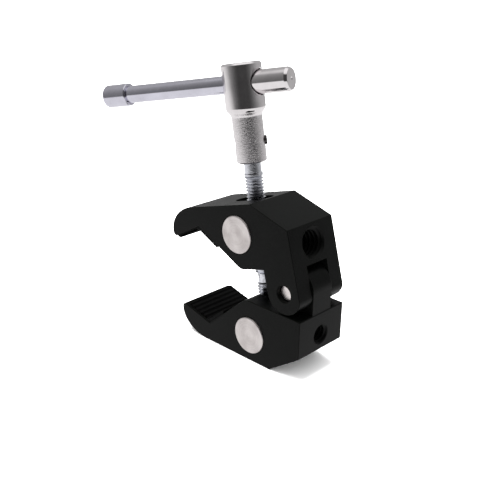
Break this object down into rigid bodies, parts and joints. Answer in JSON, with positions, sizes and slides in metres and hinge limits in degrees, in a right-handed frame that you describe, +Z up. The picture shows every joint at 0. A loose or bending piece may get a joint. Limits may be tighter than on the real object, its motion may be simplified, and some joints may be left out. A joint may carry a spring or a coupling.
{
  "type": "super clamp",
  "caption": "Two hinged V-jaws drawn together by a turnbuckle spindle with a sliding T-bar, with threaded sockets for studs in the rear faces of both jaws.",
  "frame": {"origin": "on the lower jaw's flat underside, on the mid-plane between the side faces, 20.95 mm from the hinge axis towards the noses", "axes": "+Z up, away from the underside; +X from the jaw noses towards the hinge and the threaded sockets; Y along the hinge pin"},
  "size_m": [0.0826, 0.0286, 0.091],
  "materials": {
    "black_anodised": "satin black anodised",
    "pad_rubber": "matt moulded rubber",
    "turned_steel": "turned end faces, zinc plated",
    "plated_screw": "bright zinc plated thread",
    "handle_chrome": "polished nickel-chrome plate"
  },
  "bodies": {
    "lower_jaw": {"lower_jaw": "black_anodised", "lower_nose_pad": "pad_rubber", "lower_heel_pad": "pad_rubber"},
    "upper_jaw": {"upper_jaw": "black_anodised", "upper_nose_pad": "pad_rubber", "upper_heel_pad": "pad_rubber", "hinge_pin": "turned_steel"},
    "lower_nut": {"lower_barrel_nut": "turned_steel"},
    "upper_nut": {"upper_barrel_nut": "turned_steel"},
    "end_ring": {"spindle_end_ring": "plated_screw"},
    "screw": {"spindle": "plated_screw", "handle_head": "handle_chrome", "handle_roll_pin": "turned_steel"},
    "t_bar": {"tommy_bar": "handle_chrome", "bar_end_cap": "handle_chrome"}
  },
  "joints": [
    {"name": "jaw_hinge", "type": "hinge", "parent": "lower_jaw", "child": "upper_jaw", "pos_m": [0.02095, 0, 0.0274], "axis": [0, 1, 0], "range_deg": [-26.1, 9]},
    {"name": "lower_nut_swivel", "type": "hinge", "parent": "lower_jaw", "child": "lower_nut", "pos_m": [0.00752, 0, 0.00871], "axis": [0, 1, 0], "range_deg": [-13.6, 4.7]},
    {"name": "spindle_travel", "type": "slide", "parent": "lower_nut", "child": "end_ring", "axis": [-0.1873, 0, 0.9823], "range_m": [-0.0042, 0.00145]},
    {"name": "spindle_turn", "type": "hinge", "parent": "end_ring", "child": "screw", "pos_m": [0.00752, 0, 0.00871], "axis": [-0.1873, 0, 0.9823], "range_deg": [-1490, 515]},
    {"name": "upper_nut_swivel", "type": "hinge", "parent": "upper_jaw", "child": "upper_nut", "pos_m": [0.00141, 0, 0.04073], "axis": [0, 1, 0], "range_deg": [-4.4, 12.7]},
    {"name": "t_bar_slide", "type": "slide", "parent": "screw", "child": "t_bar", "axis": [0.9394, 0.2924, 0.1791], "range_m": [0, 0.035]}
  ],
  "couplings": [
    {"joint": "jaw_hinge", "follows": "spindle_turn", "ratio": 0.0174},
    {"joint": "lower_nut_swivel", "follows": "spindle_turn", "ratio": 0.009},
    {"joint": "upper_nut_swivel", "follows": "spindle_turn", "ratio": -0.0084},
    {"joint": "spindle_travel", "follows": "spindle_turn", "m_per_rad": 0.00015915}
  ]
}
